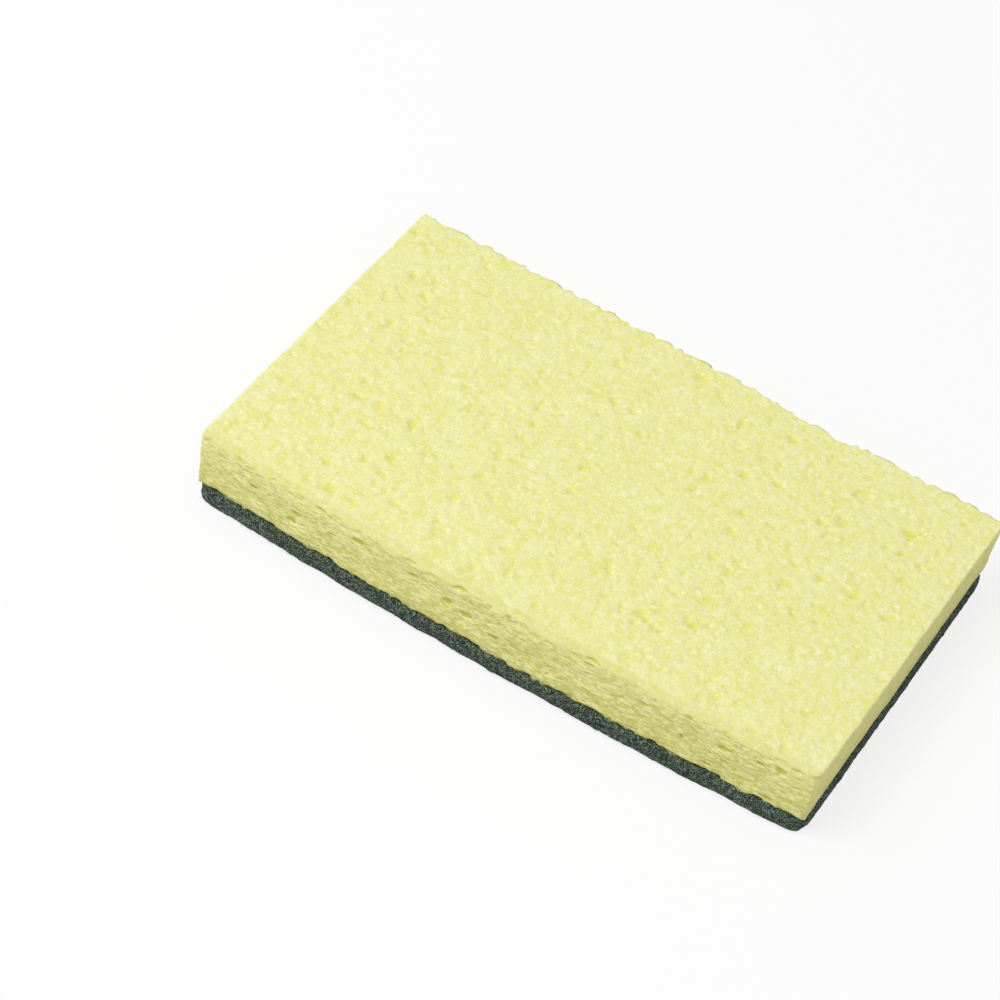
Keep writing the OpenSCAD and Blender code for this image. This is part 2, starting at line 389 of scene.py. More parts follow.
def tear_at(x):
    """Depth of the long shallow tear in the far top edge."""
    u = (x - PLAN_L / 2 + TEAR_FROM_END) / (TEAR_L / 2)
    return np.where(np.abs(u) < 1, TEAR_DEPTH * np.cos(np.pi / 2 * u) ** 2, 0.0)


def box_of_rows(name, nx, ny, rows):
    """A closed box over the plan, in mm: its top a grid at z = 0, its sides rows of faces to z = -1."""
    bpy.ops.object.select_all(action="DESELECT")
    bpy.ops.mesh.primitive_grid_add(x_subdivisions=nx, y_subdivisions=ny, size=1.0)
    piece = bpy.context.active_object
    piece.name = name
    piece.data.name = name
    bpy.ops.object.mode_set(mode="EDIT")
    bpy.ops.mesh.select_mode(type="EDGE")
    bpy.ops.mesh.select_all(action="SELECT")
    bpy.ops.transform.resize(value=(PLAN_L, PLAN_W, 1.0))
    bpy.ops.mesh.region_to_loop()
    for _ in range(rows):
        bpy.ops.mesh.extrude_edges_move(TRANSFORM_OT_translate={"value": (0, 0, -1.0 / rows)})
    bpy.ops.mesh.edge_face_add()
    bpy.ops.mesh.select_all(action="SELECT")
    bpy.ops.mesh.normals_make_consistent(inside=False)
    bpy.ops.object.mode_set(mode="OBJECT")
    return piece


def number_faces(piece, steps):
    """Numbers the faces by their place in the box, since extruding doesn't always keep to one order."""
    middles = face_table(piece)[0]
    numbers = np.empty(len(middles), dtype=np.int32)
    numbers[np.lexsort(np.rint(2 * middles / steps).T)] = np.arange(len(middles))
    layer = piece.data.attributes.new("face_number", "INT", "FACE")
    layer.data.foreach_set("value", numbers)


def read_points(piece):
    """The points of a mesh, one row each."""
    points = np.empty(len(piece.data.vertices) * 3)
    piece.data.vertices.foreach_get("co", points)
    return points.reshape(-1, 3)


def write_points(piece, points):
    """Moves the points of a mesh to new places."""
    piece.data.vertices.foreach_set("co", points.ravel())
    piece.data.update()


def add_attribute(piece, name, values):
    """Gives each point of a mesh a number that its material reads."""
    layer = piece.data.attributes.new(name, "FLOAT", "POINT")
    layer.data.foreach_set("value", np.asarray(values, dtype=np.float32))


def top_relief(rng):
    """Pores, dimples and swells of the sawn top face, in mm below it, and the hollows alone."""
    relief = Relief(PLAN_L, PLAN_W + NEAR_BOW + FAR_FLARE, 0.25)
    relief.add_noise(rng, 9.0, 9.0, 0.10)
    relief.add_noise(rng, 3.0, 3.0, 0.05)
    base = relief.depth.copy()
    relief.depth[:] = 0
    for _ in range(TOP_DIMPLES):
        radius = 0.62 + 0.6 * rng.random() ** 2.0
        relief.press(
            x=rng.uniform(0, relief.length), y=rng.uniform(0, relief.width),
            long_r=radius * rng.uniform(1.0, 1.35), short_r=radius, depth=radius * rng.uniform(0.06, 0.17),
            turn=rng.uniform(0, math.pi), flat=0.1)
    for _ in range(TOP_HOLLOWS):
        radius = rng.uniform(0.7, 1.15)
        relief.press(
            x=rng.uniform(0, relief.length), y=rng.uniform(0, relief.width),
            long_r=radius * rng.uniform(1.0, 1.5), short_r=radius, depth=radius * rng.uniform(0.16, 0.34),
            turn=rng.uniform(0, math.pi), flat=0.2)
    # The pores stand where the solid has them, each as three presses that overlap
    nx, ny = int(PLAN_L // PORE_PITCH), int((PLAN_W + NEAR_BOW / 2) // PORE_PITCH)
    middle_x, middle_y = PLAN_L / 2, PLAN_W / 2 + NEAR_BOW / 2
    for i in range(nx):
        for j in range(ny):
            x = (i - nx / 2 + 0.28 + 0.44 * dice(i, j, 3)) * PORE_PITCH + middle_x
            y = (j - ny / 2 + 0.28 + 0.44 * dice(i, j, 4)) * PORE_PITCH + middle_y
            radius = PORE_R_SMALL + (PORE_R_LARGE - PORE_R_SMALL) * dice(i, j, 5) ** 2.4
            for _ in range(3):
                relief.press(
                    x=x + radius * rng.normal(0, 0.4), y=y + radius * rng.normal(0, 0.4),
                    long_r=radius * rng.uniform(0.7, 1.3), short_r=radius * rng.uniform(0.45, 0.8),
                    depth=radius * rng.uniform(0.2, 0.36), turn=rng.uniform(0, math.pi), flat=0.1)
    for x, y, half_l, half_w, turn in DEEP_PITS:
        relief.press(
            x=x + PLAN_L / 2, y=y - CENTRING_Y + PLAN_W / 2 + NEAR_BOW, long_r=half_l * PIT_SPREAD,
            short_r=half_w * PIT_SPREAD, depth=PIT_DEPTH, turn=math.radians(turn), flat=0.3)
    hollow = relief.depth.copy()
    relief.depth += base
    return relief, hollow


def side_relief(rng, height):
    """Drawn-out cells of the long sides and round pores of the ends, in mm, and the hollows alone."""
    relief = Relief(OUTLINE_L, height, 0.2, wraps=True)
    long_sides = [(0.0, PLAN_L), (PLAN_L + PLAN_W, 2 * PLAN_L + PLAN_W)]
    ends = [(PLAN_L, PLAN_L + PLAN_W), (2 * PLAN_L + PLAN_W, OUTLINE_L)]
    for start, stop in long_sides:
        for _ in range(SIDE_STROKES):
            half = 0.5 + 1.1 * rng.random() ** 2
            relief.press(
                x=rng.uniform(start, stop), y=rng.uniform(0, height), long_r=half,
                short_r=rng.uniform(0.22, 0.38), depth=rng.uniform(0.08, 0.24), turn=rng.normal(0, 0.09),
                flat=0.2)
        for _ in range(SIDE_LENSES):
            half = 0.8 + 1.4 * rng.random() ** 2
            relief.press(
                x=rng.uniform(start, stop), y=rng.uniform(0.5, height - 0.5), long_r=half,
                short_r=rng.uniform(0.35, 0.6), depth=rng.uniform(0.35, 0.6), turn=rng.normal(0, 0.06),
                flat=0.25)
        for _ in range(RIM_BITES):
            half = rng.uniform(0.9, 3.2)
            relief.press(
                x=rng.uniform(start, stop), y=height - rng.uniform(0.6, 2.4), long_r=half,
                short_r=rng.uniform(0.4, 0.8), depth=rng.uniform(0.2, 0.6), turn=rng.normal(0, 0.08),
                flat=0.2)
    for place, level, half_l, half_h in NEAR_CELLS:
        relief.press(
            x=place, y=level, long_r=half_l * CELL_SPREAD, short_r=half_h * CELL_SPREAD, depth=CELL_DEPTH,
            turn=0.0, flat=0.3)
    for start, stop in ends:
        for _ in range(END_GRAINS):
            radius = 0.22 + 0.25 * rng.random() ** 2
            relief.press(
                x=rng.uniform(start, stop), y=rng.uniform(0, height), long_r=radius * 1.3, short_r=radius,
                depth=rng.uniform(0.05, 0.22), turn=rng.uniform(0, math.pi), flat=0.2)
        for _ in range(END_PORES):
            radius = rng.uniform(0.35, 0.8)
            relief.press(
                x=rng.uniform(start, stop), y=rng.uniform(0.5, height - 0.5), long_r=radius * 1.2,
                short_r=radius, depth=rng.uniform(0.4, 0.9), turn=rng.uniform(0, math.pi), flat=0.35)
    hollow = relief.depth.copy()
    relief.add_noise(rng, 6.0, 2.0, 0.05)
    relief.depth -= relief.depth.mean()
    return relief, hollow


def outline_noise(rng, cell, swells):
    """Unevenness along the block's outline, from pairs of a swell's width and its amount."""
    relief = Relief(OUTLINE_L, 2.0, cell, wraps=True)
    for across, amount in swells:
        relief.add_noise(rng, across, 2.0, amount)
    return relief


def shaped_block(cfg):
    """The cellulose block with its bowed, leaning and torn sides, soft rim and open pores."""
    rng = np.random.default_rng(cfg.seed)
    height = TOP_Z - PAD_T
    nx, ny = int(PLAN_L / cfg.top_step), int(PLAN_W / cfg.top_step)
    piece = box_of_rows("cellulose_block", nx, ny, int(height / cfg.side_step))
    ideal = read_points(piece)
    x, y, down = ideal[:, 0], ideal[:, 1], -ideal[:, 2]
    inside = np.minimum(PLAN_L / 2 - np.abs(x), PLAN_W / 2 - np.abs(y))
    on_top = down < 1e-6
    rise = np.where(on_top, 1.0, 1.0 - down)
    level = rise * height
    along, side = run_along(x, y)
    top_map, top_hollow = top_relief(rng)
    side_map, side_hollow = side_relief(rng, height)
    wave = waviness(rng, height + 1, 7.0, 0.28)
    sag = outline_noise(rng, 1.0, RIM_SAG)
    fray = outline_noise(rng, 0.5, FOOT_FRAY)
    jag = outline_noise(rng, 0.5, RIM_JAG)

    on_near = clamp01(1 - (PLAN_W / 2 + y) / EDGE_BAND)
    off_ends = clamp01((PLAN_L / 2 - np.abs(x)) / BLOCK_END_BAND)
    rim = cfg.rim + (cfg.near_rim - cfg.rim + sag.at(along, 0 * along)) * on_near
    # The outline sits halfway round the rim's quarter circle, so both sides of it share the curve
    reach = np.where(on_top, inside, height * down)
    moved = (1 - math.sqrt(0.5)) * np.maximum(rim - reach, 0)
    curve = rim - np.sqrt(np.maximum(rim ** 2 - np.maximum(rim - reach - moved, 0) ** 2, 0))
    z = np.where(on_top, TOP_Z - curve, TOP_Z - reach - moved)

    # Everything that moves the outline out or in, in mm
    waves = wave.at(along, level) * eased(off_ends, 0.4)
    waves = waves * np.where(on_top, clamp01(1 - inside / EDGE_BAND), 1.0)
    foot_in = 0.35 + 0.3 * off_ends + fray.at(along, level) * eased(off_ends, 0.25)
    foot_in = np.maximum(foot_in, -0.1) * clamp01(1 - level / FOOT_H)
    to_rim = clamp01(1 - np.where(on_top, inside / JAG_W, (height - level) / JAG_H))
    rim_jag = jag.at(along, 0 * along) * to_rim * eased(near_edge(y, PLAN_W / 2), 0.3) * eased(off_ends, 0.5)
    side_depth = side_map.at(along, level) * np.where(on_top, smooth(1 - inside / 2.0), 1.0)
    push = waves - foot_in - side_depth - rim_jag - np.where(on_top, moved, curve)
    px, py = soften_corner(x, y, BLOCK_CORNER_R)
    ox, oy = outward(x, y, BLOCK_CORNER_R)
    px, py = px + ox * push, py + oy * push

    bow = bow_at(x) * near_edge(-y, PLAN_W / 2)
    tear = tear_at(x) * rise ** 3 * near_edge(y, PLAN_W / 2)
    slant, flare = skew_at(x, y)
    px, py = px + slant - lean_at(x, y) * (1 - rise), py + flare - bow - tear

    # The top's hollows are shaken out of their round shapes, and fade over the rim
    warp = Relief(PLAN_L, PLAN_W + NEAR_BOW + FAR_FLARE, 0.5)
    warp.add_noise(rng, 1.5, 1.5, 0.55)
    map_x, map_y = px + PLAN_L / 2, py + PLAN_W / 2 + NEAR_BOW
    map_x, map_y = map_x + warp.at(map_x, map_y), map_y + warp.at(map_y * 1.6, map_x * 0.55)
    fade = np.where(on_top, eased(clamp01(inside / 0.6), 0.4), 0.4 * clamp01(1 - (1 - rise) * height))
    z = z - top_map.at(map_x, map_y) * fade

    top_map.depth = top_hollow
    side_map.depth = side_hollow
    hollow = np.where(on_top, top_map.at(map_x, map_y), side_map.at(along, level))
    points = np.stack([px, py + CENTRING_Y, np.maximum(z, PAD_T)], axis=1)
    write_points(piece, points * MM)
    add_attribute(piece, "hollow", hollow)
    add_attribute(piece, "side_face", np.where(on_top, 0.0, np.where(side % 2 == 0, 1.0, 0.5)))
    # Depth below the top on the sides, and on the top the distance from the near edge, as a negative
    add_attribute(piece, "fall", np.where(on_top, -(PLAN_W / 2 + y).clip(0, 4), height - level))
    # The rim mask marks where a highlight is painted along the top edges of the two ends
    across = np.where(on_top, PLAN_L / 2 - np.abs(x), level - height)
    at_end = np.where(on_top | (side % 2 == 1), 1.0, 0.0)
    add_attribute(piece, "rim", at_end * clamp01(1 - np.abs(across + 0.1) / 0.9))
    return piece


def shaped_pad(cfg):
    """The scouring pad: a flat felted face, a soft ragged edge, and a level back under the block."""
    rng = np.random.default_rng(cfg.seed)
    nx, ny = int(PLAN_L / cfg.face_step), int(PLAN_W / cfg.face_step)
    rows = int(PAD_T / cfg.side_step)
    piece = box_of_rows("scouring_web", nx, ny, rows)
    number_faces(piece, [PLAN_L / nx, PLAN_W / ny, 1 / rows])
    ideal = read_points(piece)
    # The fine face is the one that scours, so the box is turned over about X
    x, y, up = ideal[:, 0], -ideal[:, 1], -ideal[:, 2]
    inside = np.minimum(PLAN_L / 2 - np.abs(x), PLAN_W / 2 - np.abs(y))
    on_face = up < 1e-6
    along, _ = run_along(x, y)
    round_r = cfg.edge_round
    drop = round_r - np.sqrt(np.maximum(round_r ** 2 - np.maximum(round_r - inside, 0) ** 2, 0))
    level = np.where(on_face, drop, round_r + (PAD_T - round_r) * up)

    wave = waviness(rng, PAD_T + 1, 5.0, 0.3)
    lint = Relief(OUTLINE_L, PAD_T, 0.2, wraps=True)
    lint.add_noise(rng, 0.9, 0.6, 0.08)
    lint.add_noise(rng, 0.45, 0.4, 0.06)
    to_edge = np.where(on_face, clamp01(1 - inside / 2.0), 1.0)
    off_ends = clamp01((PLAN_L / 2 - np.abs(x)) / PAD_END_BAND)
    back_in = 0.3 * clamp01(1 - (PAD_T - level) / 0.6)
    push = (wave.at(along, level) * eased(off_ends, 0.45) + lint.at(along, level)) * to_edge - back_in
    px, py = soften_corner(x, y, PAD_CORNER_R)
    ox, oy = outward(x, y, PAD_CORNER_R)
    px, py = px + ox * push, py + oy * push
    bow = (bow_at(x) + PAD_PROUD) * near_edge(-y, PLAN_W / 2)
    slant, flare = skew_at(x, y)
    px = px + slant - lean_at(x, y) + PAD_END_PROUD * near_edge(x, PLAN_L / 2)
    py = py + flare - bow

    felt = Relief(PLAN_L + 2, PLAN_W + 5, 0.3)
    felt.add_noise(rng, 1.6, 1.6, 0.10)
    felt.add_noise(rng, 0.7, 0.7, 0.10)
    felt_depth = np.maximum(felt.at(px + felt.length / 2, py + PLAN_W / 2 + 4), -0.05) + 0.05
    z = np.minimum(level + np.where(on_face, felt_depth, 0.0), PAD_T)
    write_points(piece, np.stack([px, py + CENTRING_Y, z], axis=1) * MM)
    bpy.ops.object.mode_set(mode="EDIT")
    bpy.ops.mesh.select_all(action="SELECT")
    bpy.ops.mesh.normals_make_consistent(inside=False)
    bpy.ops.object.mode_set(mode="OBJECT")
    return piece


def select_end(piece):
    """Selects, in edit mode, the faces of a rod that look along X."""
    bpy.ops.object.mode_set(mode="EDIT")
    bpy.ops.mesh.select_mode(type="FACE")
    bpy.ops.mesh.select_all(action="DESELECT")
    bpy.ops.object.mode_set(mode="OBJECT")
    for face in piece.data.polygons:
        face.select = face.normal.x > 0.9
    bpy.ops.object.mode_set(mode="EDIT")


def one_fibre():
    """A fibre 2 mm long from the origin along X: a three-sided rod, bent and drawn out to a tip."""
    bpy.ops.object.select_all(action="DESELECT")
    bpy.ops.mesh.primitive_cylinder_add(
        vertices=3, radius=0.06 * MM, depth=0.5 * MM, end_fill_type="NGON", location=(0.25 * MM, 0, 0),
        rotation=(0, math.pi / 2, 0))
    fibre = bpy.context.active_object
    bpy.ops.object.transform_apply(location=True, rotation=True, scale=True)
    select_end(fibre)
    place = Vector((0.5, 0, 0)) * MM
    bends = [((0.5, 0.10, 0.12), 1.0), ((0.5, 0.02, 0.05), 0.9), ((0.5, -0.12, -0.10), 0.5)]
    for step, shrink in bends:
        step = Vector(step) * MM
        bpy.ops.mesh.extrude_region_move(TRANSFORM_OT_translate={"value": step})
        place = place + step
        bpy.ops.transform.resize(value=(1.0, shrink, shrink), center_override=place)
    bpy.ops.object.mode_set(mode="OBJECT")
    return fibre


def face_table(piece):
    """Middles, normals and areas of a piece's faces."""
    count = len(piece.data.polygons)
    middles, normals, areas = np.empty(count * 3), np.empty(count * 3), np.empty(count)
    piece.data.polygons.foreach_get("center", middles)
    piece.data.polygons.foreach_get("normal", normals)
    piece.data.polygons.foreach_get("area", areas)
    return middles.reshape(-1, 3), normals.reshape(-1, 3), areas


def unit(vectors):
    """Rows of vectors, each made 1 long."""
    return vectors / np.linalg.norm(vectors, axis=1)[:, None]


def scattered(name, host, on_edge, count, rng):
    """Copies of one fibre laid over the host's cut edge or over its scouring face."""
    fibre = one_fibre()
    rod = read_points(fibre)
    rod_faces = [list(face.vertices) for face in fibre.data.polygons]
    numbers = np.empty(len(host.data.polygons), dtype=np.int32)
    host.data.attributes["face_number"].data.foreach_get("value", numbers)
    middles, normals, areas = (table[np.argsort(numbers)] for table in face_table(host))
    # The level back under the block, and the one big face that closes it, carry no fibres
    usable = (np.abs(normals[:, 2]) < 0.75) if on_edge else (normals[:, 2] < -0.6)
    usable &= (middles[:, 2] < (PAD_T - 0.3) * MM) & (areas < (2 * MM) ** 2)
    weight = areas * usable
    chosen = rng.choice(len(areas), count, p=weight / weight.sum())
    base, up = middles[chosen], normals[chosen]
    level = unit(np.cross(up, [0.0, 0.0, 1.0]) + 1e-6)
    steep = np.cross(up, level)
    if on_edge:
        turn = np.clip(rng.normal(0, 0.3, count), -0.45, 0.45)
    else:
        turn = rng.uniform(0, 2 * math.pi, count)
    turn = turn + math.pi * rng.integers(0, 2, count)
    lift = rng.uniform(*FIBRE_LIFT, count)
    along = unit(level * np.cos(turn)[:, None] + steep * np.sin(turn)[:, None] + up * lift[:, None])
    across = unit(np.cross(up, along))
    above = np.cross(along, across)
    roll = rng.uniform(0, 2 * math.pi, count)[:, None]
    first = across * np.cos(roll) + above * np.sin(roll)
    second = above * np.cos(roll) - across * np.sin(roll)
    size = rng.uniform(*FIBRE_SIZE, count)[:, None, None]
    base = base - up * rng.uniform(*FIBRE_ROOT, count)[:, None] * MM
    points = base[:, None, :] + size * (
        rod[None, :, :1] * along[:, None, :] + rod[None, :, 1:2] * first[:, None, :]
        + rod[None, :, 2:] * second[:, None, :])
    points[..., 2] = np.clip(points[..., 2], 0.0, (PAD_T - 0.1) * MM)
    mesh = fibre.data
    mesh.clear_geometry()
    faces = [[corner + k * len(rod) for corner in face] for k in range(count) for face in rod_faces]
    mesh.from_pydata(points.reshape(-1, 3).tolist(), [], faces)
    fibre.name = name
    mesh.name = name
    add_attribute(fibre, "tone", np.repeat(rng.random(count) ** 1.4, len(rod)))
    return fibre


class Sock:
    """A shader socket that adds Math nodes for the sums written on it."""

    def __init__(self, shader, socket):
        self.shader, self.socket = shader, socket

    def sum(self, operation, first, second):
        return self.shader.node("ShaderNodeMath", {"operation": operation}, {0: first, 1: second})[0]

    def __add__(self, other):
        return self.sum("ADD", self, other)

    def __sub__(self, other):
        return self.sum("SUBTRACT", self, other)

    def __mul__(self, other):
        return self.sum("MULTIPLY", self, other)

    def __radd__(self, other):
        return self.sum("ADD", other, self)

    def __rsub__(self, other):
        return self.sum("SUBTRACT", other, self)

    def __rmul__(self, other):
        return self.sum("MULTIPLY", other, self)

    def clamped(self, low, high):
        """This value stretched so that low becomes 0 and high becomes 1, and held between them."""
        inputs = {"Value": self, "From Min": low, "From Max": high}
        return self.shader.node("ShaderNodeMapRange", {"clamp": True}, inputs)[0]


class Shader:
    """One procedural material and its node tree."""

    def __init__(self, name):
        self.material = bpy.data.materials.new(name)
        self.material.use_nodes = True
        self.tree = self.material.node_tree
        self.tree.nodes.clear()
        self.place = self.node("ShaderNodeTexCoord", {}, {})[3]

    def node(self, kind, options, inputs):
        """Adds a node, sets its options, fills its inputs and returns its outputs."""
        added = self.tree.nodes.new(kind)
        for key, value in options.items():
            setattr(added, key, value)
        for key, value in inputs.items():
            if isinstance(value, Sock):
                self.tree.links.new(value.socket, added.inputs[key])
            else:
                added.inputs[key].default_value = value
        return [Sock(self, out) for out in added.outputs]

    def noise(self, per_metre, detail, roughness, place=None):
        inputs = {"Vector": place or self.place, "Scale": per_metre, "Detail": detail, "Roughness": roughness}
        return self.node("ShaderNodeTexNoise", {}, inputs)[0]

    def cells(self, per_metre, place):
        """Distance from the nearest of a scatter of points."""
        return self.node("ShaderNodeTexVoronoi", {}, {"Vector": place, "Scale": per_metre})[0]

    def spots(self, per_metre, share, reach, place):
        """Round soft spots seen from above: one in a share of the cells, gone at reach cell widths."""
        options, inputs = {"voronoi_dimensions": "2D"}, {"Vector": place, "Scale": per_metre}
        middle, tint = self.node("ShaderNodeTexVoronoi", options, inputs)[:2]
        return tint.clamped(1.0 - share, 1.08 - share) * middle.clamped(reach, reach * 0.35)

    def wobbled(self, per_metre, amount):
        """Object coordinates shaken by up to an amount, in metres."""
        inputs = {"Vector": self.place, "Scale": per_metre, "Detail": 1.0}
        shake = self.node("ShaderNodeTexNoise", {}, inputs)[1]
        inputs = {0: shake, 1: (amount, amount, amount), 2: self.place}
        return self.node("ShaderNodeVectorMath", {"operation": "MULTIPLY_ADD"}, inputs)[0]

    def stretched(self, factors):
        """Object coordinates scaled by a factor along each axis."""
        return self.node("ShaderNodeMapping", {}, {"Vector": self.place, "Scale": factors})[0]

    def attribute(self, name):
        return self.node("ShaderNodeAttribute", {"attribute_name": name}, {})[2]

    def mix(self, factor, first, second):
        """The first colour, turning into the second where the factor is 1."""
        return self.node("ShaderNodeMix", {"data_type": "RGBA"}, {0: factor, 6: first, 7: second})[2]

    def bump(self, height, distance, strength):
        inputs = {"Height": height, "Distance": distance, "Strength": strength}
        return self.node("ShaderNodeBump", {}, inputs)[0]

    def surface(self, inputs):
        shader = self.node("ShaderNodeBsdfPrincipled", {}, inputs)[0]
        self.node("ShaderNodeOutputMaterial", {}, {"Surface": shader})
        return self.material


def rgba(colour):
    """A colour with full opacity, as the sockets take it."""
    return (*colour, 1.0)


def cellulose_material(cfg):
    """Pale lemon cellulose: bubbly spots and specks on top, streaks and drawn-out cells on the sides."""
    shader = Shader("cellulose")
    body, yellow, bright, deep, glint_tone = (rgba(colour) for colour in (
        cfg.body_colour, cfg.yellow_colour, cfg.bright_colour, cfg.deep_colour, cfg.glint_colour))
    side_dark_and_edge_shade, side_light, side_deep, foot, fray, cut = (rgba(colour) for colour in (
        cfg.side_dark_and_edge_shade_colour, cfg.side_light_colour, cfg.side_deep_colour, cfg.foot_colour,
        cfg.fray_colour, cfg.end_colour))
    hollow, side = shader.attribute("hollow"), shader.attribute("side_face")
    fall, rim = shader.attribute("fall"), shader.attribute("rim")
    shaken = shader.wobbled(900.0, amount=0.0009)
    grain = shader.noise(2300.0, detail=2.0, roughness=0.6)
    crumb = shader.noise(2500.0, detail=1.5, roughness=0.55)
    patch = shader.noise(330.0, detail=2.0, roughness=0.6)
    cloud = shader.noise(130.0, detail=1.0, roughness=0.5)
    lemon = shader.spots(430.0, share=0.40, reach=0.66, place=shaken)
    lemon_small = shader.spots(820.0, share=0.30, reach=0.6, place=shaken)
    white = shader.spots(540.0, share=0.32, reach=0.62, place=shaken)
    white_small = shader.spots(1050.0, share=0.30, reach=0.6, place=shaken)
    pearl = shader.spots(300.0, share=0.25, reach=0.6, place=shaken)
    dimple = shader.spots(620.0, share=0.7, reach=0.7, place=shaken)
    # Painted highlight: tiny bright specks where the edges of cell walls catch the light
    glint = shader.spots(1700.0, share=0.2, reach=0.6, place=shader.place)

    # The top: lemon and whitish spots, crumbs, yellow pores, tiny bright flecks of painted highlight, and
    # painted shade along the near edge
    lemons = (lemon * 0.85 + lemon_small * 0.95).clamped(0.0, 1.0)
    whites = (white * 0.65 + white_small * 0.8 + cloud.clamped(0.42, 0.7) * 0.2).clamped(0.0, 1.0)
    top = shader.mix(patch.clamped(0.36, 0.66) * 0.4, body, yellow)
    top = shader.mix(lemons, top, yellow)
    top = shader.mix(pearl * 0.45, top, bright)
    top = shader.mix(whites, top, bright)
    top = shader.mix(crumb.clamped(0.5, 0.34) * 0.6, top, yellow)
    top = shader.mix(hollow.clamped(0.14, 0.58) * 0.9, top, deep)
    # Pale crumbs, in the colour of the painted glints
    top = shader.mix(crumb.clamped(0.5, 0.68) * 0.5, top, glint_tone)
    # Painted highlight: the glints laid over the top
    top = shader.mix(glint * 0.9, top, glint_tone)
    # Painted shade: within about 2 mm of the near edge the top turns toward the sides' dark colour, where the
    # soft rim falls away from the light
    top = shader.mix((fall * fall).clamped(5.0, 0.4) * 0.35, top, side_dark_and_edge_shade)

    # The long sides: fine level streaks, pale threads, olive cells, and a greenish frayed foot
    streak = shader.noise(2900.0, detail=2.0, roughness=0.6, place=shader.stretched((0.15, 1.0, 1.0)))
    layer = shader.noise(1000.0, detail=1.0, roughness=0.5, place=shader.stretched((0.22, 1.0, 1.0)))
    lens = shader.cells(760.0, shader.stretched((0.38, 1.0, 1.0)))
    thread = shader.cells(2300.0, shader.stretched((0.22, 1.0, 1.0)))
    lower = fall.clamped(1.0, 15.0)
    sawn = (streak * 0.8 + layer * 0.2 - lower * 0.06).clamped(0.41, 0.54)
    long_side = shader.mix(sawn, side_dark_and_edge_shade, side_light)
    long_side = shader.mix(lens.clamped(0.36, 0.14) * (0.4 + lower * 0.6), long_side, side_deep)
    long_side = shader.mix(thread.clamped(0.36, 0.16) * 0.9, long_side, bright)
    long_side = shader.mix(hollow.clamped(0.28, 0.6) * 0.9, long_side, side_deep)
    long_side = shader.mix(fall.clamped(13.4, 15.6) * 0.4, long_side, foot)
    long_side = shader.mix((fall + (grain - 0.5) * 3.0).clamped(15.15, 15.5) * 0.8, long_side, fray)

    # The ends: smoother and tan, greener towards the foot, with a painted highlight along their top edge
    green = (fall + (patch - 0.5) * 14.0).clamped(10.0, 16.5) * 0.5
    end = shader.mix(green, cut, foot)

    uneven = fall + (patch - 0.5) * 8.0 + (grain - 0.5) * 3.0
    on_side = side.clamped(0.5, 0.9) * uneven.clamped(0.2, 2.4)
    on_end = side.clamped(0.0, 0.5) * (1.0 - side.clamped(0.6, 1.0))
    colour = shader.mix(on_side, top, long_side)
    colour = shader.mix(on_end * 0.85, colour, end)
    # Painted highlight: a pale line along the top edges of the two ends
    colour = shader.mix(rim * 0.4, colour, bright)
    bubbly = grain * 0.3 - dimple * 0.5 + white * 0.4
    layered = streak * 1.2 - lens.clamped(0.34, 0.1) * 0.3 + thread.clamped(0.3, 0.1) * 0.4
    height = shader.node("ShaderNodeMix", {}, {0: on_side, 2: bubbly, 3: layered})[0]
    return shader.surface({
        "Base Color": colour,
        "Roughness": 0.8 + grain * 0.1,
        "Specular IOR Level": 0.25,
        "Normal": shader.bump(height, distance=0.00035, strength=0.4),
    })


def web_material(cfg):
    """Felted green web: near-black gaps, grey-green fibre and fine pale dots, with a crust at the joint."""
    shader = Shader("scouring_web")
    web, light, dark, crust = (rgba(colour) for colour in (
        cfg.web_colour, cfg.light_colour, cfg.dark_colour, cfg.crust_colour))
    speck = shader.noise(3000.0, detail=2.0, roughness=0.7)
    tuft = shader.noise(800.0, detail=2.0, roughness=0.55)
    dot = shader.cells(2500.0, shader.place)
    shade = speck * 0.75 + tuft * 0.25
    height = shader.node("ShaderNodeSeparateXYZ", {}, {0: shader.place})[2] * (1 / MM)
    colour = shader.mix(shade.clamped(0.44, 0.55), dark, web)
    colour = shader.mix(shade.clamped(0.54, 0.64) * 0.9, colour, light)
    colour = shader.mix(dot.clamped(0.32, 0.14), colour, light)
    colour = shader.mix((height + (speck - 0.5) * 4.0).clamped(5.2, 5.5) * 0.6, colour, crust)
    return shader.surface({
        "Base Color": colour,
        "Roughness": 0.78 + speck * 0.15,
        "Specular IOR Level": 0.3,
        "Normal": shader.bump(shade, distance=0.0006, strength=0.9),
    })


def fibre_material(cfg):
    """Single nylon fibres: each has its own tone, from near black to pale green."""
    shader = Shader("web_fibre")
    tone = shader.attribute("tone")
    dull = shader.mix(tone.clamped(0.0, 0.6), rgba(cfg.dark_colour), rgba(cfg.web_colour))
    colour = shader.mix(tone.clamped(0.6, 1.0), dull, rgba(cfg.light_colour))
    return shader.surface({"Base Color": colour, "Roughness": 0.45 + tone * 0.2, "Specular IOR Level": 0.4})


def paint(piece, material):
    """Gives a piece its only material."""
    piece.data.materials.clear()
    piece.data.materials.append(material)


class SPONGE_OT_block(bpy.types.Operator):
    """Models the cellulose block in place of its plain solid"""

    bl_idname = "sponge.block"
    bl_label = "Cellulose block"

    def execute(self, context):
        cfg = settings("sponge_settings")
        piece = shaped_block(cfg)
        bpy.ops.object.shade_smooth()
        paint(piece, cellulose_material(cfg))
        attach(piece, "root")
        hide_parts("sponge_block")
        return {"FINISHED"}


class SPONGE_OT_pad(bpy.types.Operator):
    """Models the scouring pad in place of its plain solid"""

    bl_idname = "sponge.pad"
    bl_label = "Scouring pad"

    def execute(self, context):
        cfg = settings("pad_settings")
        piece = shaped_pad(cfg)
        bpy.ops.object.shade_smooth()
        paint(piece, web_material(cfg))
        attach(piece, "root")
        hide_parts("scouring_pad")
        return {"FINISHED"}


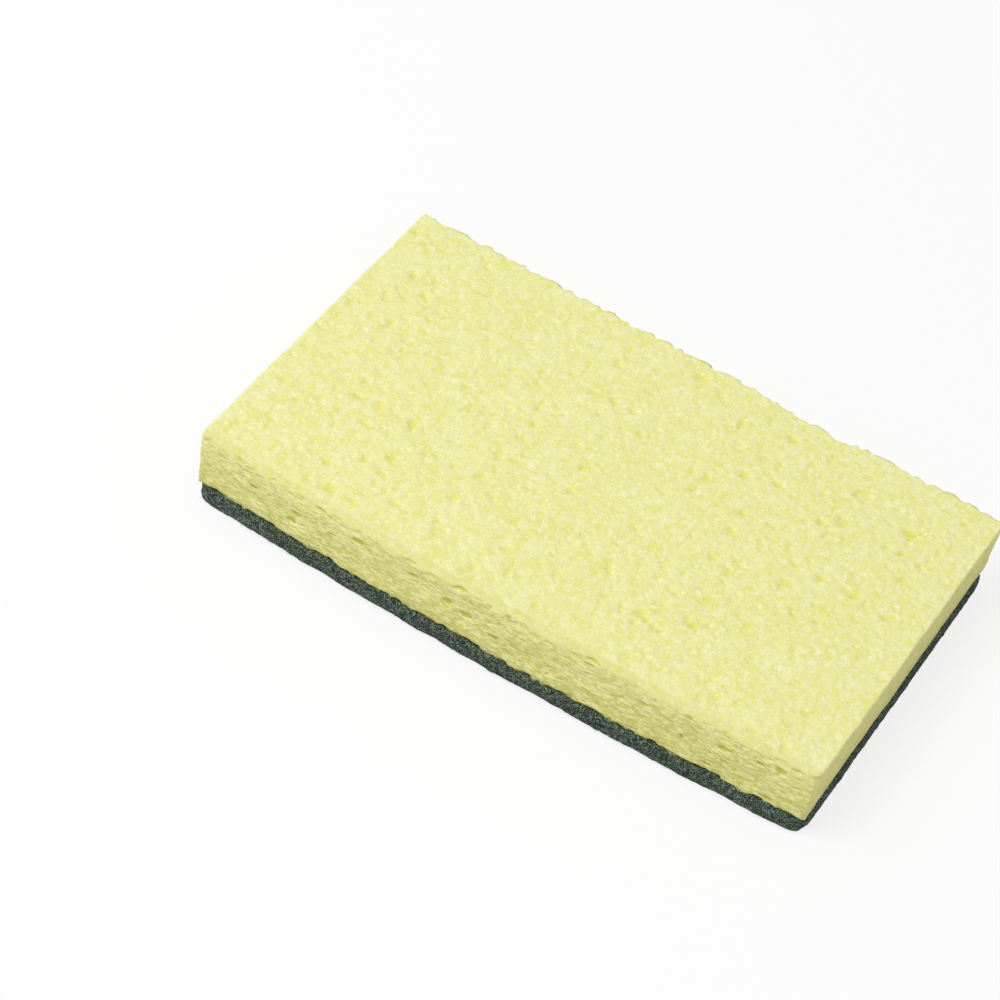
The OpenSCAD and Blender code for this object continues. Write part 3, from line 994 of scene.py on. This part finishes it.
class SPONGE_OT_fibres(bpy.types.Operator):
    """Scatters single fibres over the pad's cut edge and its scouring face"""

    bl_idname = "sponge.fibres"
    bl_label = "Fibres"

    def execute(self, context):
        cfg = settings("pad_settings")
        rng = np.random.default_rng(cfg.seed + 1)
        host = bpy.data.objects["scouring_web"]
        material = fibre_material(cfg)
        groups = [("edge_fibres", True, cfg.edge_fibres), ("face_fibres", False, cfg.face_fibres)]
        for name, on_edge, count in groups:
            piece = scattered(name, host, on_edge, count, rng)
            paint(piece, material)
            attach(piece, "root")
        return {"FINISHED"}


def camera_matrix(cfg):
    """The camera's place and turn, from its aim, distance, azimuth, elevation and roll."""
    turn = Matrix.Rotation(cfg.azimuth, 4, "Z") @ Matrix.Rotation(math.pi / 2 - cfg.elevation, 4, "X")
    back = turn @ Matrix.Translation((0, 0, cfg.distance)) @ Matrix.Rotation(cfg.roll, 4, "Z")
    return Matrix.Translation(cfg.aim) @ back


def add_lamp(name, place, size, power):
    """Adds an area lamp that looks at the middle of the sponge."""
    bpy.ops.object.light_add(type="AREA", location=place)
    lamp = bpy.context.active_object
    lamp.name = name
    lamp.data.size = size
    lamp.data.energy = power
    lamp.rotation_euler = (-Vector(place)).to_track_quat("-Z", "Y").to_euler()


def floor_material():
    """White floor that the camera sees nearly white, with the sponge's soft shadow on it."""
    shader = Shader("floor")
    rays = shader.node("ShaderNodeLightPath", {}, {})
    diffuse = shader.node("ShaderNodeBsdfDiffuse", {}, {"Color": (0.9, 0.9, 0.9, 1.0)})[0]
    glow = shader.node("ShaderNodeEmission", {}, {"Color": (1.0, 1.0, 1.0, 1.0), "Strength": 1.0})[0]
    both = shader.node("ShaderNodeMixShader", {}, {0: rays[0] * FLOOR_GLOW, 1: diffuse, 2: glow})[0]
    shader.node("ShaderNodeOutputMaterial", {}, {"Surface": both})
    return shader.material


class SPONGE_OT_stage(bpy.types.Operator):
    """Adds the floor, the lamps, the white surround and the camera of the photograph"""

    bl_idname = "sponge.stage"
    bl_label = "Stage"

    def execute(self, context):
        cfg = settings("stage_settings")
        bpy.ops.object.select_all(action="DESELECT")
        bpy.ops.mesh.primitive_plane_add(size=FLOOR_SIZE)
        floor = bpy.context.active_object
        floor.name = "floor"
        paint(floor, floor_material())
        for name, place, size, power in LAMPS:
            add_lamp(name, place, size, power)
        world = bpy.data.worlds.new("surround")
        context.scene.world = world
        world.use_nodes = True
        background = world.node_tree.nodes["Background"]
        background.inputs["Color"].default_value = (1.0, 1.0, 1.0, 1.0)
        background.inputs["Strength"].default_value = WORLD_STRENGTH
        bpy.ops.object.camera_add()
        camera = bpy.context.active_object
        camera.name = "photo_camera"
        camera.matrix_world = camera_matrix(cfg)
        camera.data.sensor_width = SENSOR
        camera.data.lens = cfg.focal_px * SENSOR / PICTURE
        camera.data.clip_start = 0.01
        context.scene.camera = camera
        context.scene.view_settings.view_transform = "Standard"
        return {"FINISHED"}


class SPONGE_PT_panel(bpy.types.Panel):
    """Lists the sponge's pieces in the sidebar"""

    bl_idname = "SPONGE_PT_panel"
    bl_label = "Scrub sponge"
    bl_space_type = "VIEW_3D"
    bl_region_type = "UI"
    bl_category = "Scrub sponge"

    def draw(self, context):
        for operator in OPERATORS:
            self.layout.operator(operator.bl_idname)


GROUPS = {
    "sponge_settings": SpongeSettings,
    "pad_settings": PadSettings,
    "stage_settings": StageSettings,
}
OPERATORS = [SPONGE_OT_stage, SPONGE_OT_block, SPONGE_OT_pad, SPONGE_OT_fibres]


def register():
    for group in [*GROUPS.values(), *OPERATORS, SPONGE_PT_panel]:
        bpy.utils.register_class(group)
    for name, group in GROUPS.items():
        setattr(bpy.types.Scene, name, bpy.props.PointerProperty(type=group))


def unregister():
    for name in GROUPS:
        delattr(bpy.types.Scene, name)
    for group in [SPONGE_PT_panel, *reversed(OPERATORS), *GROUPS.values()]:
        bpy.utils.unregister_class(group)


def main():
    register()
    bpy.ops.sponge.stage()
    bpy.ops.sponge.block()
    bpy.ops.sponge.pad()
    bpy.ops.sponge.fibres()


if __name__ == "__main__":
    main()
